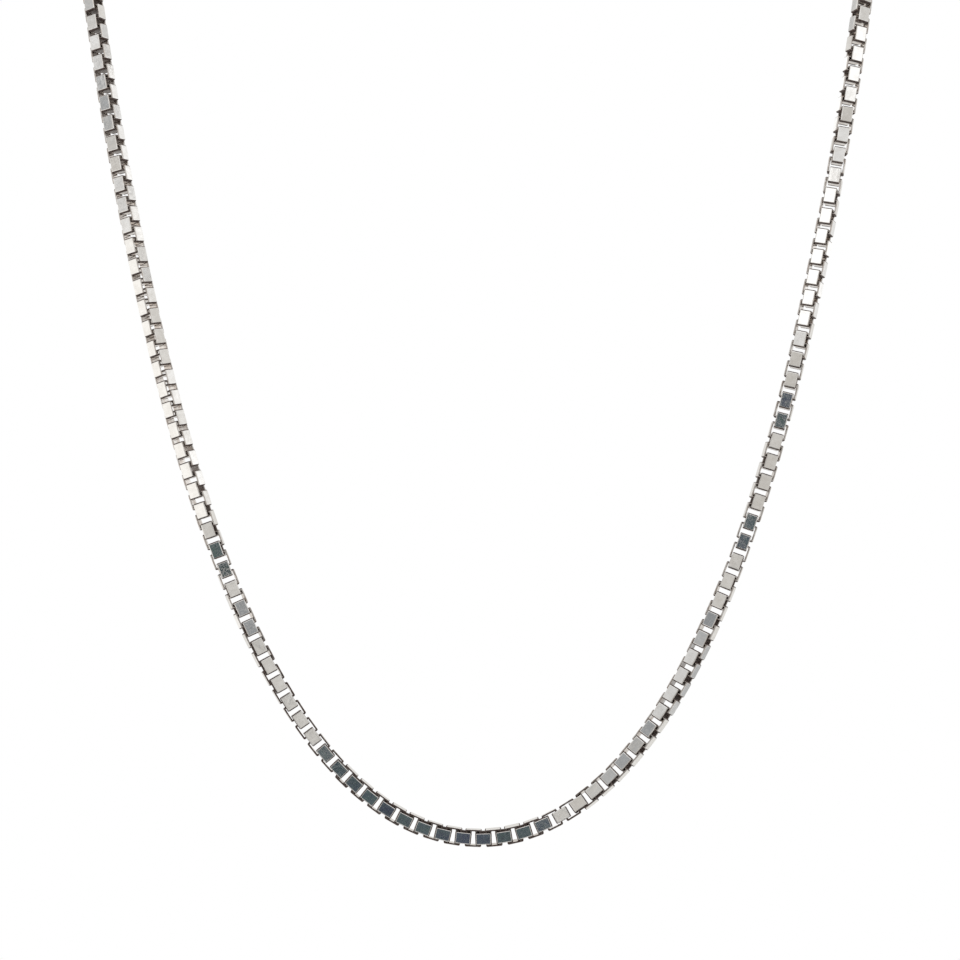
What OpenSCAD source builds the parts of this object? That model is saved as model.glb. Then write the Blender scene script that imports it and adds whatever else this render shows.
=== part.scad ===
// Box chain necklace: square links bent from flat strip, hooked through each other a quarter turn apart.
// The loop is drawn on a flat sheet, and the sheet is then bent back over the shoulders.
// +Z is up and the front faces -Y. The origin is the middle of the neck at the height of the nape.

/* [Loop] */
// Whole length around the necklace, clasp included
loop_len = 558.8; // [520:1:620]
// Share of each side that hangs free in front before it goes round the neck
hang_share = 0.55; // [0.5:0.01:0.57]
// Radius of the curve at the lowest point of the front
hang_r = 24; // [18:0.5:26]

/* [Neck] */
// Share of the hanging height at which the front begins to lean back
lean_share = 0.24; // [0.1:0.01:0.6]
// Angle that the front leans back by where it meets the shoulder
lean_angle = 9; // [3:1:20]
// Share of the hanging height at which the chain turns over the shoulder
shoulder_share = 0.98; // [0.8:0.01:1]
// Radius of the bend over the shoulder
shoulder_r = 38; // [26:1:50]
// Angle from upright of the stretch behind the neck
nape_angle = 85; // [60:1:95]

/* [Link] */
// Width of a link across the chain, outside
link_w = 2.75; // [2.6:0.05:3.2]
// Length of a link along the chain, outside
link_l = 2.6; // [2.4:0.01:2.8]
// Thickness of the strip that a link is bent from
wall = 0.3; // [0.26:0.01:0.34]
// Radius of the bends of a link, outside
corner_r = 0.25; // [0.15:0.01:0.35]
// Radius of the bends of a link, inside
bend_r = 0.05; // [0.04:0.01:0.1]
// Play between the end walls of two hooked links where the chain is straight
play = 0.32; // [0.2:0.01:0.4]
// Clearance on each side of a strip inside the next link
side_gap = 0.17; // [0.14:0.01:0.2]
// Place of the lowest link's middle along the chain, to the right of the lowest point
first_place = 0.6; // [0:0.1:1.6]

/* [Back] */
// Share of each side that is made of single links; a plain run of the same outline follows
links_share = 0.72; // [0.6:0.01:0.78]
// Gap between the plain run and the link at each of its ends
run_gap = 0.2; // [0.1:0.05:0.4]

/* [Clasp] */
// Diameter of the clasp's barrel
barrel_d = 4.4; // [3.6:0.1:6]
// Length of the clasp's barrel
barrel_l = 8; // [6:0.5:14]
// Radius of the barrel's rounded rims
barrel_rim = 0.8; // [0.3:0.1:1.2]
// Thickness of the flat loop at each end of the clasp
loop_t = 0.9; // [0.6:0.05:1.2]
// Width of the loop's metal all round
loop_bar = 0.75; // [0.6:0.05:0.85]
// Clearance between a loop's bar and the end wall of the link on it
loop_play = 0.2; // [0.15:0.05:0.3]

/* [Hidden] */
$fn = 48;

// Turn of the chain about its own line, seen along it: place as a share of the hanging side, degrees.
// Left of the lowest point is negative. Between the rows the turn changes evenly.
PLACE_TURN = [
    [-1.30, 0],
    [-1.02, 33],
    [-0.84, 25],
    [-0.72, 40],
    [-0.65, 47],
    [-0.63, 47],
    [-0.60, 40],
    [-0.52, 30],
    [-0.49, 22],
    [-0.45, 10],
    [-0.40, -4],
    [-0.36, -14],
    [-0.34, -14],
    [-0.25, -7],
    [-0.21, -5],
    [-0.19, -1],
    [-0.10, 3],
    [0.03, 5],
    [0.05, 3],
    [0.14, -18],
    [0.26, -30],
    [0.30, -29],
    [0.37, -14],
    [0.44, -3],
    [0.48, 8],
    [0.52, 8],
    [0.56, -3],
    [0.63, -10],
    [0.67, -19],
    [0.75, -21],
    [0.80, -13],
    [0.87, 6],
    [0.94, 16],
    [1.02, 27],
    [1.30, 0],
];

RAD = 180 / PI;
QUARTER = 90;

// Loop on the flat sheet: a hanging curve, a straight stretch and a round arch behind the neck
half_len = loop_len / 2;
hang_len = hang_share * half_len;
hang_half_w = hang_r * asinh(hang_len / hang_r);
hang_h = norm([hang_r, hang_len]) - hang_r;
hang_angle = atan(hang_len / hang_r);
arch_turn = (180 - hang_angle) / RAD;
straight_len = (half_len - hang_len - arch_turn * hang_half_w / sin(hang_angle))
    / (1 + arch_turn / tan(hang_angle));
arch_r = (hang_half_w + straight_len * cos(hang_angle)) / sin(hang_angle);
arch_v = hang_h + straight_len * sin(hang_angle) + arch_r * cos(hang_angle);

// Side view of the bent sheet: upright, a slow lean back, the shoulder bend, then straight back
lean_from = lean_share * hang_h;
shoulder_from = shoulder_share * hang_h;
lean_r = (shoulder_from - lean_from) * RAD / lean_angle;
shoulder_len = shoulder_r * (nape_angle - lean_angle) / RAD;

// Links: the strip just passes inside the next link, and two links hook end wall to end wall
strip_w = link_w - 2 * wall - 2 * side_gap;
straight_pitch = link_l - 2 * wall - play;
links_end = links_share * half_len;
right_places = [for (s = first_place; s <= links_end; s = s + pitch(s, 1)) s];
left_first = first_place - pitch(first_place, -1);
left_places = [for (s = left_first; s >= -links_end; s = s - pitch(s, -1)) s];

// Clasp: a barrel with a flat loop at each end for the last link of each side
loop_in_w = strip_w + 2 * side_gap;
loop_out_w = loop_in_w + 2 * loop_bar;
loop_reach = wall + 3 * loop_play + loop_bar;
clasp_half = barrel_l / 2 + loop_reach;
end_place = half_len - clasp_half + loop_bar + loop_play - link_l / 2 + wall;
clasp_inset = arch_r - sqrt(arch_r * arch_r - clasp_half * clasp_half);

// Plain run behind the neck, from the last single link to the link on the clasp
right_run = [last(right_places) + link_l / 2 + run_gap, end_place - link_l / 2 - run_gap];
left_run = [last(left_places) - link_l / 2 - run_gap, -right_run[1]];
RUN_RING_STEP = 2 * link_w;
RUN_SECTION = [
    [link_w, strip_w] / 2,
    [strip_w, link_w] / 2,
    [-strip_w, link_w] / 2,
    [-link_w, strip_w] / 2,
    [-link_w, -strip_w] / 2,
    [-strip_w, -link_w] / 2,
    [strip_w, -link_w] / 2,
    [link_w, -strip_w] / 2,
];

top_side = side_view(arch_v + arch_r);
ORIGIN = [0, top_side[0] / 2, top_side[1]];

function asinh(x) = ln(x + norm([x, 1]));

function last(list) = list[len(list) - 1];

// Point of the loop on the flat sheet and its direction there, as [across, up, degrees]
function on_sheet(s) =
    let (t = abs(s))
    t <= hang_len ? [hang_r * asinh(t / hang_r), norm([hang_r, t]) - hang_r, atan(t / hang_r)]
    : t <= hang_len + straight_len ? [
        hang_half_w + (t - hang_len) * cos(hang_angle),
        hang_h + (t - hang_len) * sin(hang_angle),
        hang_angle
    ]
    : let (a = hang_angle + (t - hang_len - straight_len) * RAD / arch_r)
    [arch_r * sin(a), arch_v - arch_r * cos(a), a];

// Place on the bent sheet seen from the side, as [back, up, degrees from upright]
function side_view(v) =
    v <= lean_from ? [0, v, 0]
    : v <= shoulder_from ?
    let (a = (v - lean_from) * RAD / lean_r) [lean_r * (1 - cos(a)), lean_from + lean_r * sin(a), a]
    : v <= shoulder_from + shoulder_len ?
    let (a = lean_angle + (v - shoulder_from) * RAD / shoulder_r, from = side_view(shoulder_from))
    [
        from[0] + shoulder_r * (cos(lean_angle) - cos(a)),
        from[1] + shoulder_r * (sin(a) - sin(lean_angle)),
        a
    ]
    : let (d = v - shoulder_from - shoulder_len, from = side_view(shoulder_from + shoulder_len))
    [from[0] + d * sin(nape_angle), from[1] + d * cos(nape_angle), nape_angle];

// Bend of the loop at s, one over the radius, as [with the sheet, within the sheet]
function bend_at(s) =
    let (t = abs(s), flat = on_sheet(s), v = flat[1])
    let (with_sheet = v <= lean_from ? 0
        : v <= shoulder_from ? 1 / lean_r
        : v <= shoulder_from + shoulder_len ? 1 / shoulder_r : 0)
    let (in_sheet = t <= hang_len ? hang_r / (hang_r * hang_r + t * t)
        : t <= hang_len + straight_len ? 0 : 1 / arch_r)
    [with_sheet * pow(sin(flat[2]), 2), in_sheet];

// How much a bend at s tilts two hooked end walls at their corners, as a share of the pitch
function corner_tilt(s) =
    let (bend = bend_at(s), turn = turn_at(s))
    (abs(bend[0] * cos(turn) + bend[1] * sin(turn)) + abs(bend[1] * cos(turn) - bend[0] * sin(turn)))
    * strip_w / 2;

// Distance from the link at s to the next one in direction dir: a bend brings the corners together
function pitch(s, dir) =
    straight_pitch / (1 + max([for (k = [0:2]) corner_tilt(s + dir * k * straight_pitch / 2)]));

function turn_at(s) = lookup(s / hang_len, PLACE_TURN);

// Axes at s turned by angle about the chain's line: along it, out of the sheet, across it, and the point
function axes_at(s, angle) =
    let (flat = on_sheet(s), side = side_view(flat[1]), up = sin(flat[2]) * sign(s))
    let (along = [cos(flat[2]), up * sin(side[2]), up * cos(side[2])])
    let (out = [0, -cos(side[2]), sin(side[2])], across = cross(along, out))
    [
        along,
        out * cos(angle) + across * sin(angle),
        across * cos(angle) - out * sin(angle),
        [flat[0] * (s < 0 ? -1 : 1), side[0], side[1]] - ORIGIN
    ];

// Row of a matrix for each of X, Y and Z, from the four columns of axes_at
function as_matrix(axes) = [for (k = [0:2]) [for (c = [0:3]) axes[c][k]]];

module at(s, angle) {
    multmatrix(as_matrix(axes_at(s, angle))) children();
}

module round_rect(l, w, r) {
    square([l - 2 * r, w], center = true);
    square([l, w - 2 * r], center = true);
    for (x = [-1, 1]) {
        for (y = [-1, 1]) {
            translate([x * (l / 2 - r), y * (w / 2 - r)]) circle(r);
        }
    }
}

// One link along X: its strip bent into a box, open from side to side along Z
module link() {
    linear_extrude(strip_w, center = true) difference() {
        round_rect(link_l, link_w, corner_r);
        round_rect(link_l - 2 * wall, link_w - 2 * wall, bend_r);
    }
}

// Points around the chain's outline at s, from the corners of the two families of links
function run_ring(s) =
    let (axes = axes_at(s, turn_at(s)))
    [for (p = RUN_SECTION) axes[3] + axes[1] * p[0] + axes[2] * p[1]];

// Plain stretch of the chain's outline between two places on the loop
module plain_run(from, to) {
    steps = ceil(abs(to - from) / RUN_RING_STEP);
    sides = len(RUN_SECTION);
    points = [for (i = [0:steps]) each run_ring(from + (to - from) * i / steps)];
    walls = [
        for (i = [0:steps - 1])
            for (k = [0:sides - 1])
                let (a = i * sides + k, b = i * sides + (k + 1) % sides)
                each [[a, b + sides, b], [a, a + sides, b + sides]]
    ];
    ends = [[for (k = [0:sides - 1]) k], [for (k = [sides - 1:-1:0]) steps * sides + k]];
    polyhedron(points, concat(walls, ends));
}

module clasp_loop() {
    inner_l = loop_reach - loop_bar;
    translate([barrel_l / 2, 0, 0]) linear_extrude(loop_t, center = true) difference() {
        round_rect(2 * loop_reach, loop_out_w, loop_bar);
        round_rect(2 * inner_l, loop_in_w, side_gap);
    }
}

module chain_front() {
    color("silver") {
        for (i = [0:len(right_places) - 1]) {
            at(right_places[i], turn_at(right_places[i]) + QUARTER * (i % 2)) link();
        }
        for (i = [0:len(left_places) - 1]) {
            at(left_places[i], turn_at(left_places[i]) + QUARTER * ((i + 1) % 2)) link();
        }
    }
}

module chain_back() {
    color("lightgray") {
        plain_run(right_run[0], right_run[1]);
        plain_run(left_run[1], left_run[0]);
        for (s = [-end_place, end_place]) {
            at(s, QUARTER) link();
        }
    }
}

module clasp() {
    color("gainsboro") at(half_len, 0) translate([0, 0, -clasp_inset]) {
        rotate([0, 90, 0]) rotate_extrude() intersection() {
            round_rect(barrel_d, barrel_l, barrel_rim);
            translate([0, -barrel_l / 2]) square([barrel_d / 2, barrel_l]);
        }
        for (side = [0, 180]) {
            rotate([0, 0, side]) clasp_loop();
        }
    }
}

chain_front();
chain_back();
clasp();
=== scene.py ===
from math import asinh, atan, copysign, cos, hypot, pi, radians, sin, tan
from random import Random
from typing import NamedTuple

import bpy
import numpy as np
from mathutils import Matrix


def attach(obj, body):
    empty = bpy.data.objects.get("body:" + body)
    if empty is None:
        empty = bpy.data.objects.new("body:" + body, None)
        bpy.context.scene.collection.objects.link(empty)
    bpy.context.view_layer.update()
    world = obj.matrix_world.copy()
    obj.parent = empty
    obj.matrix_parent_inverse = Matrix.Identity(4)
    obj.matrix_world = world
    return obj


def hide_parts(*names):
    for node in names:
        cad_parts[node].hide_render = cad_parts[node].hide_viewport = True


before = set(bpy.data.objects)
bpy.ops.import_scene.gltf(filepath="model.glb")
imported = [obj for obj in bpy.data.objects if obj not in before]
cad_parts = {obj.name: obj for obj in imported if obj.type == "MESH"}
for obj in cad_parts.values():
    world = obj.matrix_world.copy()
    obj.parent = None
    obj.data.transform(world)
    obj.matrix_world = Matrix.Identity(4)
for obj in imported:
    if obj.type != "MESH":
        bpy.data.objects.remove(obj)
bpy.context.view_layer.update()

MM = 0.001
QUARTER = pi / 2

# The loop, as in the part: a hanging curve, a straight stretch and a round arch, on a bent sheet
LOOP_LEN = 558.8 * MM
HANG_SHARE = 0.55
HANG_R = 24 * MM
LEAN_SHARE = 0.24
LEAN_ANGLE = radians(9)
SHOULDER_SHARE = 0.98
SHOULDER_R = 38 * MM
NAPE_ANGLE = radians(85)

# The link, as in the part
LINK_W = 2.75 * MM
LINK_L = 2.6 * MM
WALL = 0.3 * MM
CORNER_R = 0.25 * MM
BEND_R = 0.05 * MM
PLAY = 0.32 * MM
FIRST_PLACE = 0.6 * MM
SIDE_GAP = 0.17 * MM
LINKS_SHARE = 0.72

# The clasp, as in the part
BARREL_D = 4.4 * MM
BARREL_L = 8 * MM
BARREL_RIM = 0.8 * MM
LOOP_T = 0.9 * MM
LOOP_BAR = 0.75 * MM
LOOP_PLAY = 0.2 * MM

# Turn of the chain about its own line: place as a share of the hanging side, degrees
PLACE_TURN = [
    (-1.30, 0),
    (-1.02, 33),
    (-0.84, 25),
    (-0.72, 40),
    (-0.65, 47),
    (-0.63, 47),
    (-0.60, 40),
    (-0.52, 30),
    (-0.49, 22),
    (-0.45, 10),
    (-0.40, -4),
    (-0.36, -14),
    (-0.34, -14),
    (-0.25, -7),
    (-0.21, -5),
    (-0.19, -1),
    (-0.10, 3),
    (0.03, 5),
    (0.05, 3),
    (0.14, -18),
    (0.26, -30),
    (0.30, -29),
    (0.37, -14),
    (0.44, -3),
    (0.48, 8),
    (0.52, 8),
    (0.56, -3),
    (0.63, -10),
    (0.67, -19),
    (0.75, -21),
    (0.80, -13),
    (0.87, 6),
    (0.94, 16),
    (1.02, 27),
    (1.30, 0),
]

# Rounded edges of the strip and of the clasp's loops, and how finely the meshes are made
EDGE_R = 0.14 * MM
LOOP_EDGE_R = 0.2 * MM
EDGE_STEPS = 3
BEND_STEPS = 4
RIM_STEPS = 8
TURN_STEPS = 64

# How unevenly the links lie: the most that one is turned about each of its axes, and about the
# chain's line if it stands sideways
LINK_TILT = radians(0.5)
SIDEWAYS_TILT = radians(4)

# Links that lie off the even turn: place as a share of the hanging side, degrees. The reach is in
# shares too.
OFF_TURN = [(-0.402, -2.8), (0.453, -3.2)]
OFF_REACH = 0.006

# The wear, along the grain of the strip: sizes of its noise, how high it stands, how rough it is, and
# how much the streaks, the dull stain and the nearly black painted shade show in it
MOTTLE_SIZE = 0.9 * MM
SCUFF_SIZE = 0.25 * MM
STREAK_SIZE = 0.7 * MM
STREAK_SQUEEZE = (9, 1, 1)
MOTTLE_HEIGHT = 0.01 * MM
SCRATCH_HEIGHT = 0.0004 * MM
ROUGHNESS = (0.06, 0.14)
BLACK_ROUGHER = 0.4
SPECULAR = 0.1
STREAK_SHARES = (0.0, 0.5)
DULL_SHARES = (0.2, 0.8)
BLACK_SHARES = (1.0, 0.85)

# Bands of a link: how far inside its outermost surface each starts, and is full. They are the outer
# faces of its plates, which stay clean, its ends, the part of the ends near the plates, and the edges
# of its strip. Painted shade goes on the ends near the plates and on the edges.
FACE_BAND = (0.05 * MM, 0.015 * MM)
END_BAND = (0.2 * MM, 0.14 * MM)
NEAR_PLATE_BAND = (0.95 * MM, 0.5 * MM)
EDGE_BAND = (0.08 * MM, 0.03 * MM)

# The painted shade on the edges, nearly black, thins out to a share between these heights above the
# lowest link, and higher up to the left of the middle
EDGES_THIN = (3 * MM, 17 * MM)
EDGES_SHARE = 0.2
LEFT_OF_MIDDLE = (-20 * MM, 0)
LEFT_HIGHER = 23 * MM

# The painted shade inside the links, nearly black, is only on what faces the front, and thins out
# between these heights
FACES_FRONT = (-0.85, -0.7)
INSIDES_THIN = (45 * MM, 75 * MM)
INSIDES_SHARE = 0.95

# At the upper left the ends get nearly black painted shade away from the plates too: where across,
# where up, and the share
DEEP_ACROSS = (-50 * MM, -30 * MM)
DEEP_UP = (95 * MM, 115 * MM)
DEEP_SHARE = 0.65

# Colours of the silver, its dull stain and the nearly black painted shade
BRIGHT_SILVER = (0.95, 0.94, 0.92, 1)
WORN_SILVER = (0.88, 0.865, 0.84, 1)
STREAK_SILVER = (0.74, 0.72, 0.69, 1)
DULL_STAIN = (0.50, 0.43, 0.38, 1)
# Nearly black painted shade for the ends, edges and insides of the links
BLACK_SHADE = (0.045, 0.019, 0.014, 1)

# The camera stands in front of the lowest link and sees it low in a square picture
CAMERA_DISTANCE = 600 * MM
CAMERA_SIDE = 0.165 * MM
CAMERA_RISE = 56.6 * MM
CAMERA_ROLL = radians(0.12)
LENS = 142.2
SENSOR = 36

# What is dark around the camera and reflects in the plates that face it. Each block is left, right,
# bottom and top, from the lowest link and in the camera's plane.
DARK_BLOCKS = [
    (-210 * MM, 90 * MM, -235 * MM, -15 * MM),
    (-210 * MM, 45 * MM, -20 * MM, 14 * MM),
    (-210 * MM, -72 * MM, 9 * MM, 68 * MM),
    (-42 * MM, 58 * MM, 76 * MM, 202 * MM),
]
BLOCK_FADE = 5 * MM

# A darker one just before the others
DARKEST_BLOCK = (0 * MM, 52 * MM, 64 * MM, 90 * MM)
DARKEST_NEARER = 1 * MM

# Colours of the blocks, and the sizes of the patches that they lie in
NAVY = (0.06, 0.062, 0.125, 1)
GREY_GREEN = (0.075, 0.13, 0.105, 1)
GREY_GREEN_SIZE = 22 * MM
PALE_SLATE = (0.15, 0.17, 0.19, 1)
PALE_SLATE_SIZE = 9 * MM
NEAR_BLACK = (0.012, 0.014, 0.02, 1)
NEAR_BLACK_SIZE = 11 * MM
NIGHT = (0.008, 0.009, 0.016, 1)
NIGHT_SHARE = 0.45

# White soft box in front of the upper part of the chain
BOX_BLOCK = (-135 * MM, 35 * MM, 155 * MM, 360 * MM)
BOX_DISTANCE = 200 * MM
BOX_BRIGHT = (1.3, 1.3, 1.3, 1)
BOX_DIM = (1.15, 1.15, 1.15, 1)
BOX_PATCH_SIZE = 60 * MM

# Light of the room in front of the chain, behind it, above it and low on the left. The spans are of
# the direction's Y, Z, X and Z, and the size of the patches is in the same units.
FRONT_PATCH_SIZE = 0.1
FRONT_DIM = (0.58, 0.56, 0.53, 1)
FRONT_BRIGHT = (0.68, 0.67, 0.65, 1)
BEHIND_SPAN = (-0.35, 0.05)
BEHIND = (0.78, 0.765, 0.74, 1)
ABOVE_SPAN = (0.42, 0.6)
ABOVE = (1.0, 1.0, 0.99, 1)
LEFT_SPAN = (-0.52, -0.4)
LOW_SPAN = (0.07, 0.13)
LOW_LEFT = (1.04, 1.04 * 0.98, 1.04 * 0.95, 1)

# Patches of the room seen from the chain: azimuth to the right, elevation and radius in degrees, and
# how light it is there. Those darker than COOL_BELOW are a little blue.
ROOM = [
    (-74, 17, 5, 0.53),
    (-66, 11, 2.3, 0.84),
    (-61, 10, 2.8, 0.38),
    (-65, 4, 1.8, 0.63),
    (-60, 5.5, 1.8, 0.80),
    (-71, 2, 2.5, 0.78),
    (22, 9.7, 2.8, 0.30),
    (-23, 21, 4, 0.46),
    (-24, 17, 1.8, 0.80),
    (-32, 23.5, 4, 0.37),
    (-42, 24, 3, 0.33),
    (-51, 22.5, 4.5, 0.70),
    (-41, 16.8, 2.5, 0.45),
    (-33, 13.5, 4.5, 0.30),
    (10, 19, 9, 0.78),
    (42, 13, 13, 1.15),
    (124, 4, 15.5, 1.2),
    (110, 6, 14, 1.2),
    (100, 15, 5, 1.0),
    (93, 22.5, 3, 0.66),
    (118, 22, 2.2, 0.55),
    (128, -26, 9, 0.46),
    (-153, 12, 7, 1.15),
    (-137, 17, 3, 0.56),
    (140, -2, 3, 0.84),
    (129, 15.5, 2.5, 0.88),
    (144, -16, 3, 0.60),
    (119, 21, 1.8, 0.60),
    (123, 19.7, 1.6, 0.66),
]
PATCH_FADE = 1.5
COOL_BELOW = 0.6
COOL_SHARE = 1 / 6

# The floor lies well below the lowest link, outside the picture, and fades out to the white around it
FLOOR_DROP = 250 * MM
FLOOR_R = 900 * MM
FLOOR_FADE = (0.45 * FLOOR_R, 0.95 * FLOOR_R)
FLOOR_COLOUR = (0.86, 0.86, 0.855, 1)

# Places of the loop worked out from the sizes above
half_len = LOOP_LEN / 2
hang_len = HANG_SHARE * half_len
hang_half_w = HANG_R * asinh(hang_len / HANG_R)
hang_h = hypot(HANG_R, hang_len) - HANG_R
hang_angle = atan(hang_len / HANG_R)
arch_turn = pi - hang_angle
straight_len = (half_len - hang_len - arch_turn * hang_half_w / sin(hang_angle)) / (
    1 + arch_turn / tan(hang_angle)
)
arch_r = (hang_half_w + straight_len * cos(hang_angle)) / sin(hang_angle)
arch_v = hang_h + straight_len * sin(hang_angle) + arch_r * cos(hang_angle)
lean_from = LEAN_SHARE * hang_h
shoulder_from = SHOULDER_SHARE * hang_h
lean_r = (shoulder_from - lean_from) / LEAN_ANGLE
shoulder_len = SHOULDER_R * (NAPE_ANGLE - LEAN_ANGLE)

strip_w = LINK_W - 2 * WALL - 2 * SIDE_GAP
straight_pitch = LINK_L - 2 * WALL - PLAY
loop_out_w = strip_w + 2 * SIDE_GAP + 2 * LOOP_BAR
loop_reach = WALL + 3 * LOOP_PLAY + LOOP_BAR
clasp_half = BARREL_L / 2 + loop_reach
end_place = half_len - clasp_half + LOOP_BAR + LOOP_PLAY - LINK_L / 2 + WALL
clasp_inset = arch_r - (arch_r**2 - clasp_half**2) ** 0.5


def on_sheet(s):
    """Point of the loop on the flat sheet and its direction there: across, up, angle."""
    t = abs(s)
    if t <= hang_len:
        return HANG_R * asinh(t / HANG_R), hypot(HANG_R, t) - HANG_R, atan(t / HANG_R)
    t -= hang_len
    if t <= straight_len:
        return hang_half_w + t * cos(hang_angle), hang_h + t * sin(hang_angle), hang_angle
    a = hang_angle + (t - straight_len) / arch_r
    return arch_r * sin(a), arch_v - arch_r * cos(a), a


def side_view(v):
    """Place on the bent sheet seen from the side: back, up, angle from upright."""
    if v <= lean_from:
        return 0, v, 0
    if v <= shoulder_from:
        a = (v - lean_from) / lean_r
        return lean_r * (1 - cos(a)), lean_from + lean_r * sin(a), a
    if v <= shoulder_from + shoulder_len:
        back, up, _ = side_view(shoulder_from)
        a = LEAN_ANGLE + (v - shoulder_from) / SHOULDER_R
        back += SHOULDER_R * (cos(LEAN_ANGLE) - cos(a))
        return back, up + SHOULDER_R * (sin(a) - sin(LEAN_ANGLE)), a
    back, up, _ = side_view(shoulder_from + shoulder_len)
    d = v - shoulder_from - shoulder_len
    return back + d * sin(NAPE_ANGLE), up + d * cos(NAPE_ANGLE), NAPE_ANGLE


top_back, top_up, _ = side_view(arch_v + arch_r)
ORIGIN = np.array([0, top_back / 2, top_up])


def turn_at(s):
    places, turns = zip(*PLACE_TURN)
    return radians(np.interp(s / hang_len, places, turns))


def corner_tilt(s):
    """How much the bend at s tilts two hooked end walls at their corners, as a share of the pitch."""
    t = abs(s)
    _, v, angle = on_sheet(s)
    with_sheet = 0
    if lean_from < v <= shoulder_from:
        with_sheet = sin(angle) ** 2 / lean_r
    elif shoulder_from < v <= shoulder_from + shoulder_len:
        with_sheet = sin(angle) ** 2 / SHOULDER_R
    in_sheet = 1 / arch_r
    if t <= hang_len:
        in_sheet = HANG_R / (HANG_R**2 + t**2)
    elif t <= hang_len + straight_len:
        in_sheet = 0
    c, d = cos(turn_at(s)), sin(turn_at(s))
    return (abs(with_sheet * c + in_sheet * d) + abs(in_sheet * c - with_sheet * d)) * strip_w / 2


def pitch(s, direction):
    """Distance from the link at s to the next one."""
    tilts = [corner_tilt(s + direction * k * straight_pitch / 2) for k in range(3)]
    return straight_pitch / (1 + max(tilts))


def axes_at(s, angle):
    """Matrix at s: along the chain, out of the sheet and across it, turned by angle."""
    across_sheet, v, direction = on_sheet(s)
    back, up, lean = side_view(v)
    rise = sin(direction) * copysign(1, s)
    along = np.array([cos(direction), rise * sin(lean), rise * cos(lean)])
    out = np.array([0, -cos(lean), sin(lean)])
    across = np.cross(along, out)
    axes = np.identity(4)
    axes[:3, 0] = along
    axes[:3, 1] = out * cos(angle) + across * sin(angle)
    axes[:3, 2] = across * cos(angle) - out * sin(angle)
    axes[:3, 3] = np.array([copysign(across_sheet, s), back, up]) - ORIGIN
    return axes


lowest = axes_at(0, 0)[:3, 3]


def front_places(first, direction):
    """Places of the single links of one side, from the lowest one up and over the shoulder."""
    places = [first]
    while abs(places[-1]) <= LINKS_SHARE * half_len:
        places.append(places[-1] + direction * pitch(places[-1], direction))
    return places[:-1]


def nape_places(last):
    """Places after the last front link up to the one on the clasp, an even number of them."""
    direction = copysign(1, last)
    steps = []
    s = last
    while abs(s) < end_place or len(steps) % 2:
        steps.append(pitch(s, direction))
        s += direction * steps[-1]
    return last + (direction * end_place - last) * np.cumsum(steps) / sum(steps)


class Surface(NamedTuple):
    """A closed surface. spot is the place in the part's own axes, and grain the way round its strip,
    across it and through it. Stain and painted shade follow the one and scratches the other."""

    points: np.ndarray
    normals: np.ndarray
    faces: list
    spot: np.ndarray
    grain: np.ndarray


def round_rect(length, width, r, steps):
    """Outline of a rounded rectangle, anticlockwise, and the outward direction at each point."""
    points, ways = [], []
    for k, (x, y) in enumerate([(1, 1), (-1, 1), (-1, -1), (1, -1)]):
        angles = k * QUARTER + np.linspace(0, QUARTER, steps + 1)
        ways.append(np.stack([np.cos(angles), np.sin(angles)], axis=1))
        points.append(np.array([x * (length / 2 - r), y * (width / 2 - r)]) + r * ways[-1])
    return np.concatenate(points), np.concatenate(ways)


def grid_faces(rings, sides, closed):
    """Quads between rings of points, numbered ring by ring."""
    return [
        [i * sides + k, (i + 1) % rings * sides + k, (i + 1) % rings * sides + n, i * sides + n]
        for i in range(rings if closed else rings - 1)
        for k, n in zip(range(sides), [*range(1, sides), 0])
    ]


def strip_box(length, width, thick, depth, outer_r, inner_r, edge_r):
    """A strip of that thickness and depth bent into a box along X, open from side to side along Z."""
    outer, ways = round_rect(length, width, outer_r, BEND_STEPS)
    inner, _ = round_rect(length - 2 * thick, width - 2 * thick, inner_r, BEND_STEPS)
    section, slopes = round_rect(thick, depth, edge_r, EDGE_STEPS)
    rings, sides = len(outer), len(section)
    through = (section[:, :1] / thick + 0.5)[None]

    def swept(flat, across):
        return np.concatenate([flat, np.tile(across, (rings, 1))[..., None]], axis=2).reshape(-1, 3)

    points = swept(inner[:, None] + (outer - inner)[:, None] * through, section[:, 1])
    normals = swept(ways[:, None] * slopes[None, :, :1], slopes[:, 1])
    round_it = np.concatenate([[0], np.cumsum(np.linalg.norm(np.diff(outer, axis=0), axis=1))])
    over_it = np.tile(section[:, ::-1], (rings, 1))
    grain = np.concatenate([np.repeat(round_it, sides)[:, None], over_it], axis=1)
    return Surface(points, normals, grid_faces(rings, sides, closed=True), points, grain)


def barrel():
    """The clasp's barrel along X, with rounded rims and flat ends."""
    outline, ways = round_rect(BARREL_L, BARREL_D, BARREL_RIM, RIM_STEPS)
    rings = len(outline) // 2
    angles = np.arange(TURN_STEPS) * 2 * pi / TURN_STEPS
    spokes = np.stack([np.ones(TURN_STEPS), np.cos(angles), np.sin(angles)], axis=1)
    points = (outline[:rings, None, [0, 1, 1]] * spokes).reshape(-1, 3)
    normals = (ways[:rings, None, [0, 1, 1]] * spokes).reshape(-1, 3)
    first_end = list(range(TURN_STEPS))
    last_end = [(rings - 1) * TURN_STEPS + k for k in reversed(first_end)]
    faces = grid_faces(rings, TURN_STEPS, closed=False) + [first_end, last_end]
    return Surface(points, normals, faces, points, points)


def placed(surface, axes):
    turn = axes[:3, :3].T
    return surface._replace(points=surface.points @ turn + axes[:3, 3], normals=surface.normals @ turn)


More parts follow.
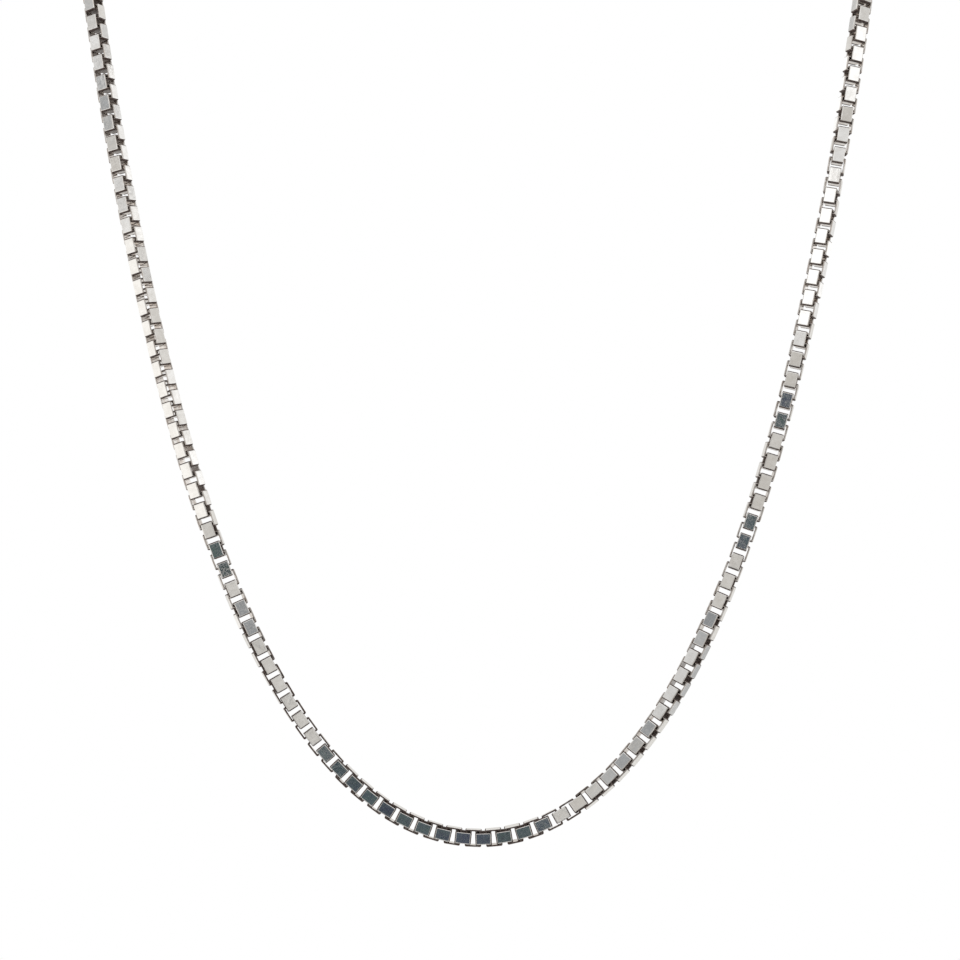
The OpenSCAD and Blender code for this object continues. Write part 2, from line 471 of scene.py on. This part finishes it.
def joined(name, cad_node, surfaces, material):
    """One piece of several surfaces, which stands for a node of the part."""
    starts = np.cumsum([0] + [len(one.points) for one in surfaces]).tolist()
    faces = [[start + v for v in face] for start, one in zip(starts, surfaces) for face in one.faces]
    normals = np.concatenate([one.normals for one in surfaces])
    mesh = bpy.data.meshes.new(name)
    piece = bpy.data.objects.new(name, mesh)
    mesh.from_pydata(np.concatenate([one.points for one in surfaces]).tolist(), [], faces)
    mesh.polygons.foreach_set("use_smooth", [True] * len(faces))
    for layer in ("spot", "grain"):
        values = np.concatenate([getattr(one, layer) for one in surfaces])
        mesh.attributes.new(layer, "FLOAT_VECTOR", "POINT").data.foreach_set("vector", values.ravel())
    mesh.normals_split_custom_set_from_vertices(normals.tolist())
    mesh.materials.append(material)
    bpy.context.scene.collection.objects.link(piece)
    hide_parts(cad_node)
    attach(piece, "root")


def uneven(rng, most):
    """A small turn about each axis, at most that much."""
    turn = Matrix.Identity(4)
    for axis, angle in zip("XYZ", most):
        turn @= Matrix.Rotation(rng.uniform(-angle, angle), 4, axis)
    return np.array(turn)


def links(name, cad_node, places, first_turned, material):
    """A run of links, each a quarter turn from the one before it."""
    link = strip_box(LINK_L, LINK_W, WALL, strip_w, CORNER_R, BEND_R, EDGE_R)
    rng = Random(name)
    surfaces = []
    for i, s in enumerate(places):
        sideways = (i + first_turned) % 2
        tilt = uneven(rng, (SIDEWAYS_TILT if sideways else LINK_TILT, LINK_TILT, LINK_TILT))
        off = [angle for share, angle in OFF_TURN if abs(s / hang_len - share) < OFF_REACH]
        turn = QUARTER if sideways else radians(sum(off))
        one = placed(link, axes_at(s, turn_at(s) + turn) @ tilt)
        surfaces.append(one._replace(grain=one.grain + [rng.random(), rng.random(), rng.random()]))
    joined(name, cad_node, surfaces, material)


def clasp(material):
    """The barrel and the flat loop at each of its ends."""
    loop = strip_box(2 * loop_reach, loop_out_w, LOOP_BAR, LOOP_T, LOOP_BAR, SIDE_GAP, LOOP_EDGE_R)
    surfaces = [barrel()]
    for side in (-1, 1):
        end = np.identity(4)
        end[0, 3] = side * BARREL_L / 2
        surfaces.append(placed(loop, end))
    behind = axes_at(half_len, 0)
    behind[:3, 3] -= behind[:3, 2] * clasp_inset
    joined("clasp_barrel", "clasp", [placed(one, behind) for one in surfaces], material)


def node(tree, kind, inputs=None, **settings):
    """Adds a node. An input is a value, or the socket of another node."""
    made = tree.nodes.new(kind)
    for name, value in settings.items():
        setattr(made, name, value)
    for name, value in (inputs or {}).items():
        if isinstance(value, bpy.types.NodeSocket):
            tree.links.new(value, made.inputs[name])
        else:
            made.inputs[name].default_value = value
    return made


def ramp(tree, value, low, high, to_low=0.0, to_high=1.0):
    """value eased from low and high onto a new range."""
    inputs = {"Value": value, "From Min": low, "From Max": high, "To Min": to_low, "To Max": to_high}
    return node(tree, "ShaderNodeMapRange", inputs, interpolation_type="SMOOTHSTEP").outputs["Result"]


def maths(tree, operation, a, b=0.0):
    return node(tree, "ShaderNodeMath", {0: a, 1: b}, operation=operation).outputs[0]


def times(tree, a, b):
    return maths(tree, "MULTIPLY", a, b)


def larger(tree, a, b):
    return maths(tree, "MAXIMUM", a, b)


def mixed(tree, share, a, b):
    inputs = {0: share, 6: a, 7: b}
    return node(tree, "ShaderNodeMix", inputs, data_type="RGBA").outputs[2]


def noise(tree, vector, size, detail, squeeze=(1, 1, 1)):
    """Noise whose features are about size across, squeezed that many times along each axis. Most of
    it lies between 0.3 and 0.7, which is why the ramps over it start and end about there."""
    scaled = node(tree, "ShaderNodeVectorMath", {0: vector, 1: squeeze}, operation="MULTIPLY")
    inputs = {"Vector": scaled.outputs[0], "Scale": 1 / size, "Detail": detail}
    return node(tree, "ShaderNodeTexNoise", inputs).outputs["Fac"]


def new_material(name):
    material = bpy.data.materials.new(name)
    material.use_nodes = True
    tree = material.node_tree
    tree.nodes.clear()
    return material, tree, node(tree, "ShaderNodeOutputMaterial")


def in_band(tree, value, half, starts, full):
    """0 to 1 where value comes that close to half, to either side of zero."""
    return ramp(tree, maths(tree, "ABSOLUTE", value), half - starts, half - full)


def tarnish_and_shade_masks(tree):
    """Where a link is recessed, and how much nearly black painted shade it gets there and on its ends.
    """
    spot = node(tree, "ShaderNodeAttribute", attribute_name="spot").outputs["Vector"]
    axes = node(tree, "ShaderNodeSeparateXYZ", {0: spot}).outputs
    here = node(tree, "ShaderNodeTexCoord").outputs
    place = node(tree, "ShaderNodeSeparateXYZ", {0: here["Object"]}).outputs
    height = maths(tree, "SUBTRACT", place["Z"], lowest[2])
    facing = node(tree, "ShaderNodeSeparateXYZ", {0: here["Normal"]}).outputs["Y"]

    recess = maths(tree, "SUBTRACT", 1.0, in_band(tree, axes["Y"], LINK_W / 2, *FACE_BAND))
    edge = in_band(tree, axes["Z"], strip_w / 2, *EDGE_BAND)
    higher = ramp(tree, place["X"], *LEFT_OF_MIDDLE, LEFT_HIGHER, 0.0)
    thin = ramp(tree, maths(tree, "SUBTRACT", height, higher), *EDGES_THIN, 1.0, EDGES_SHARE)
    front = ramp(tree, facing, *FACES_FRONT, 1.0, 0.0)
    inside = times(tree, front, ramp(tree, height, *INSIDES_THIN, INSIDES_SHARE, 0.0))
    inside = times(tree, maths(tree, "SUBTRACT", 1.0, edge), inside)
    # Painted shade: nearly black on the edges and in the insides that face the front
    hollow = times(tree, recess, larger(tree, inside, times(tree, edge, thin)))

    # Painted shade: nearly black on the ends near the plates, and at the upper left away from them too
    near_plate = in_band(tree, axes["Y"], LINK_W / 2, *NEAR_PLATE_BAND)
    deep = ramp(tree, height, *DEEP_UP, 0.0, DEEP_SHARE)
    deep = times(tree, ramp(tree, place["X"], *DEEP_ACROSS, 1.0, 0.0), deep)
    end = in_band(tree, axes["X"], LINK_L / 2, *END_BAND)
    end = times(tree, end, larger(tree, near_plate, deep))
    return recess, larger(tree, end, hollow)


def worn_silver_and_shade(name, with_tarnish_and_shade):
    """Polished silver with faint streaks. A link made with stain and shade is dull where it is
    recessed, and painted nearly black as shade on its ends, on the edges of its strip and in its
    insides."""
    material, tree, output = new_material(name)
    grain = node(tree, "ShaderNodeAttribute", attribute_name="grain").outputs["Vector"]
    mottle = noise(tree, grain, MOTTLE_SIZE, 3)
    scuffs = noise(tree, grain, SCUFF_SIZE, 4)
    streaks = noise(tree, grain, STREAK_SIZE, 3, STREAK_SQUEEZE)
    colour = mixed(tree, ramp(tree, mottle, 0.35, 0.65), BRIGHT_SILVER, WORN_SILVER)
    colour = mixed(tree, ramp(tree, streaks, 0.4, 0.75, *STREAK_SHARES), colour, STREAK_SILVER)
    rough = ramp(tree, scuffs, 0.35, 0.7, *ROUGHNESS)
    metal = 1.0
    if with_tarnish_and_shade:
        recess, black = tarnish_and_shade_masks(tree)
        dull = times(tree, recess, ramp(tree, mottle, 0.3, 0.7, *DULL_SHARES))
        colour = mixed(tree, dull, colour, DULL_STAIN)
        # Painted shade: nearly black colour, rougher and not metal, on the ends, edges and insides
        black = times(tree, black, ramp(tree, scuffs, 0.3, 0.6, *BLACK_SHARES))
        colour = mixed(tree, black, colour, BLACK_SHADE)
        rough = maths(tree, "ADD", rough, times(tree, black, BLACK_ROUGHER))
        metal = maths(tree, "SUBTRACT", 1.0, black)
    inputs = {"Strength": 1.0, "Distance": MOTTLE_HEIGHT, "Height": mottle}
    wavy = node(tree, "ShaderNodeBump", inputs).outputs["Normal"]
    scratches = maths(tree, "ADD", scuffs, streaks)
    inputs = {"Strength": 1.0, "Distance": SCRATCH_HEIGHT, "Height": scratches, "Normal": wavy}
    bump = node(tree, "ShaderNodeBump", inputs).outputs["Normal"]
    inputs = {"Base Color": colour, "Metallic": metal, "Roughness": rough, "Normal": bump}
    shader = node(tree, "ShaderNodeBsdfPrincipled", {**inputs, "Specular IOR Level": SPECULAR})
    tree.links.new(shader.outputs[0], output.inputs["Surface"])
    return material


def add_flat(name, corners, material):
    """A flat face of the studio, which isn't part of the object."""
    mesh = bpy.data.meshes.new(name)
    mesh.from_pydata(corners, [], [(0, 1, 2, 3)])
    mesh.materials.append(material)
    flat = bpy.data.objects.new(name, mesh)
    bpy.context.scene.collection.objects.link(flat)
    return flat


def pale_floor():
    """Matt and pale, and see-through towards its edge."""
    material, tree, output = new_material("pale_floor")
    place = node(tree, "ShaderNodeTexCoord").outputs["Object"]
    away = node(tree, "ShaderNodeVectorMath", {0: place}, operation="LENGTH").outputs["Value"]
    fade = ramp(tree, away, *FLOOR_FADE)
    matt = node(tree, "ShaderNodeBsdfDiffuse", {"Color": FLOOR_COLOUR})
    clear = node(tree, "ShaderNodeBsdfTransparent")
    both = node(tree, "ShaderNodeMixShader", {0: fade, 1: matt.outputs[0], 2: clear.outputs[0]})
    tree.links.new(both.outputs[0], output.inputs["Surface"])
    return material


def glowing(name, block, colour_of):
    """Material of a glowing face of the studio, see-through towards its edges."""
    material, tree, output = new_material(name)
    place = node(tree, "ShaderNodeTexCoord").outputs["Object"]
    light = node(tree, "ShaderNodeEmission", {"Color": colour_of(tree, place)})
    axes = node(tree, "ShaderNodeSeparateXYZ", {0: place}).outputs
    x0, x1, z0, z1 = block
    shares = [
        ramp(tree, axes["X"], x0, x0 + BLOCK_FADE),
        ramp(tree, axes["X"], x1 - BLOCK_FADE, x1, 1.0, 0.0),
        ramp(tree, axes["Z"], lowest[2] + z0, lowest[2] + z0 + BLOCK_FADE),
        ramp(tree, axes["Z"], lowest[2] + z1 - BLOCK_FADE, lowest[2] + z1, 1.0, 0.0),
    ]
    share = times(tree, times(tree, *shares[:2]), times(tree, *shares[2:]))
    clear = node(tree, "ShaderNodeBsdfTransparent")
    both = node(tree, "ShaderNodeMixShader", {0: share, 1: clear.outputs[0], 2: light.outputs[0]})
    tree.links.new(both.outputs[0], output.inputs["Surface"])
    return material


def add_upright(name, block, y, colour_of):
    """A glowing face across the view, which the camera itself doesn't see."""
    x0, x1, z0, z1 = block
    corners = [(x0, y, z0), (x1, y, z0), (x1, y, z1), (x0, y, z1)]
    corners = [(x, y, z + lowest[2]) for x, y, z in corners]
    flat = add_flat(name, corners, glowing(name, block, colour_of))
    flat.visible_camera = False


def slate(tree, place):
    """Patches of navy and grey-green, as a camera and a dim room look in polished metal."""
    green = ramp(tree, noise(tree, place, GREY_GREEN_SIZE, 2), 0.42, 0.58)
    pale = ramp(tree, noise(tree, place, PALE_SLATE_SIZE, 1), 0.5, 0.62)
    black = ramp(tree, noise(tree, place, NEAR_BLACK_SIZE, 1), 0.36, 0.48, 0.85, 0.0)
    tone = mixed(tree, pale, mixed(tree, green, NAVY, GREY_GREEN), PALE_SLATE)
    return mixed(tree, black, tone, NEAR_BLACK)


def night(tree, place):
    return mixed(tree, NIGHT_SHARE, slate(tree, place), NIGHT)


def white(tree, place):
    return mixed(tree, noise(tree, place, BOX_PATCH_SIZE, 2), BOX_BRIGHT, BOX_DIM)


def bright_world():
    """Soft light from all sides, dimmer in front, with a room's patches. The camera sees white."""
    world = bpy.data.worlds.new("bright_world")
    bpy.context.scene.world = world
    world.use_nodes = True
    tree = world.node_tree
    tree.nodes.clear()
    way = node(tree, "ShaderNodeTexCoord").outputs["Generated"]
    axes = node(tree, "ShaderNodeSeparateXYZ", {0: way}).outputs
    patches = ramp(tree, noise(tree, way, FRONT_PATCH_SIZE, 2), 0.38, 0.62)
    colour = mixed(tree, patches, FRONT_DIM, FRONT_BRIGHT)
    colour = mixed(tree, ramp(tree, axes["Y"], *BEHIND_SPAN), colour, BEHIND)
    colour = mixed(tree, ramp(tree, axes["Z"], *ABOVE_SPAN), colour, ABOVE)
    left = ramp(tree, axes["X"], *LEFT_SPAN, 1.0, 0.0)
    low = ramp(tree, axes["Z"], *LOW_SPAN, 1.0, 0.0)
    colour = mixed(tree, times(tree, left, low), colour, LOW_LEFT)
    for azimuth, elevation, radius, light in ROOM:
        a, e = radians(azimuth), radians(elevation)
        middle = (sin(a) * cos(e), -cos(a) * cos(e), sin(e))
        near = node(tree, "ShaderNodeVectorMath", {0: way, 1: middle}, operation="DOT_PRODUCT")
        rim = cos(radians(radius + PATCH_FADE)), cos(radians(radius - PATCH_FADE))
        share = ramp(tree, near.outputs["Value"], *rim)
        cool = max(0, COOL_BELOW - light) * COOL_SHARE
        colour = mixed(tree, share, colour, (light * (1 - cool), light, light * (1 + cool), 1))
    lit = node(tree, "ShaderNodeBackground", {"Color": colour, "Strength": 1.0})
    plain = node(tree, "ShaderNodeBackground", {"Color": (1, 1, 1, 1), "Strength": 1.0})
    seen = node(tree, "ShaderNodeLightPath").outputs["Is Camera Ray"]
    both = node(tree, "ShaderNodeMixShader", {0: seen, 1: lit.outputs[0], 2: plain.outputs[0]})
    output = node(tree, "ShaderNodeOutputWorld")
    tree.links.new(both.outputs[0], output.inputs["Surface"])


# Camera, facing +Y and rolled a little
camera = bpy.data.objects.new("camera", bpy.data.cameras.new("camera"))
camera.data.lens = LENS
camera.data.sensor_width = SENSOR
camera.location = (CAMERA_SIDE, lowest[1] - CAMERA_DISTANCE, lowest[2] + CAMERA_RISE)
camera.rotation_euler = (QUARTER, CAMERA_ROLL, 0)
bpy.context.scene.collection.objects.link(camera)
bpy.context.scene.camera = camera
bpy.context.scene.view_settings.view_transform = "Standard"

# Studio
bright_world()
for i, block in enumerate(DARK_BLOCKS):
    add_upright(f"dark_block_{i}", block, camera.location.y, slate)
add_upright("darkest_block", DARKEST_BLOCK, camera.location.y + DARKEST_NEARER, night)
add_upright("soft_box", BOX_BLOCK, lowest[1] - BOX_DISTANCE, white)
r, z = FLOOR_R, lowest[2] - FLOOR_DROP
add_flat("floor", [(-r, -r, z), (r, -r, z), (r, r, z), (-r, r, z)], pale_floor())

# Chain and clasp
# The chain's silver carries a dull stain in its recesses and nearly black painted shade
silver = worn_silver_and_shade("worn_silver_and_shade", with_tarnish_and_shade=True)
right = front_places(FIRST_PLACE, 1)
left = front_places(FIRST_PLACE - pitch(FIRST_PLACE, -1), -1)
links("front_links_right", "chain_front", right, 0, silver)
links("front_links_left", "chain_front", left, 1, silver)
links("nape_links_right", "chain_back", nape_places(right[-1]), len(right), silver)
links("nape_links_left", "chain_back", nape_places(left[-1]), len(left) + 1, silver)
clasp(worn_silver_and_shade("clean_silver", with_tarnish_and_shade=False))
